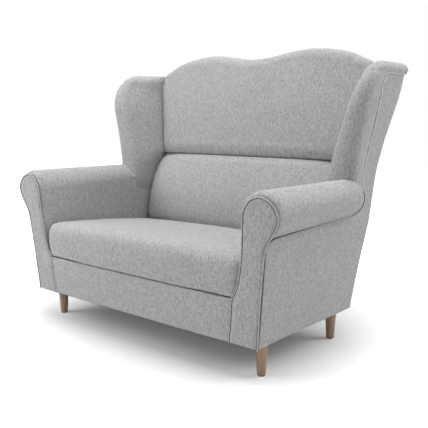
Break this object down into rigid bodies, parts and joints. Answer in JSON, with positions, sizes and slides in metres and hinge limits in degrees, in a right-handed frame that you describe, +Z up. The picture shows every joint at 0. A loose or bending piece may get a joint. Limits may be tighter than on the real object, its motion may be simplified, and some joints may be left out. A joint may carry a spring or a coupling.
{
  "type": "two-seater sofa",
  "caption": "Upholstered two-seater wing sofa with rolled arms, a bench seat, a two-part back with a shaped top and tapered round wooden legs.",
  "frame": {"origin": "on the floor, under the middle of the sofa's bounding box", "axes": "+Z up, -Y towards the front, +X towards the right-hand arm as seen from the front"},
  "size_m": [1.3422, 0.8686, 1.1301],
  "materials": {
    "upholstery": "matte woven melange fabric",
    "welt_fabric": "matte piping in the upholstery fabric",
    "foam": "soft open-cell foam",
    "felt_pad": "needled felt",
    "webbing": "woven elastic webbing",
    "dust_cloth": "spun-bonded dust cloth",
    "frame_wood": "planed softwood",
    "plywood": "unfinished plywood",
    "fibreboard": "hard fibreboard",
    "leg_wood": "turned beech, satin lacquer",
    "spring_steel": "drawn wire",
    "hardware_steel": "zinc plated",
    "glide_plastic": "moulded"
  },
  "bodies": {
    "root": {"arm_cover_left": "upholstery", "arm_cover_right": "upholstery", "arm_facing_left": "upholstery", "arm_facing_right": "upholstery", "arm_foam_left": "foam", "arm_foam_right": "foam", "arm_front_board_left": "plywood", "arm_front_board_right": "plywood", "arm_rail_left": "frame_wood", "arm_rail_right": "frame_wood", "arm_side_board_left": "fibreboard", "arm_side_board_right": "fibreboard", "arm_welt_left": "welt_fabric", "arm_welt_right": "welt_fabric", "back_bottom_rail": "frame_wood", "back_middle_rail": "frame_wood", "back_post_left": "frame_wood", "back_post_right": "frame_wood", "back_top_rail": "plywood", "back_webbing": "webbing", "corner_blocks": "frame_wood", "dust_cover": "dust_cloth", "frame_screws": "hardware_steel", "front_panel": "upholstery", "leg_bolts": "hardware_steel", "leg_front_left": "leg_wood", "leg_front_right": "leg_wood", "leg_glides": "glide_plastic", "leg_nuts": "hardware_steel", "leg_rear_left": "leg_wood", "leg_rear_right": "leg_wood", "lower_back_cover": "upholstery", "lower_back_foam": "foam", "rear_panel": "upholstery", "seat_base_foam": "foam", "seat_centre_rail": "frame_wood", "seat_cover": "upholstery", "seat_foam": "foam", "seat_front_rail": "frame_wood", "seat_rear_rail": "frame_wood", "seat_side_rail_left": "frame_wood", "seat_side_rail_right": "frame_wood", "seat_springs": "spring_steel", "side_panel_left": "upholstery", "side_panel_right": "upholstery", "spring_clips": "spring_steel", "spring_pad": "felt_pad", "upper_back_cover": "upholstery", "upper_back_foam": "foam", "wing_board_left": "plywood", "wing_board_right": "plywood", "wing_cover_left": "upholstery", "wing_cover_right": "upholstery", "wing_foam_left": "foam", "wing_foam_right": "foam"}
  },
  "joints": []
}
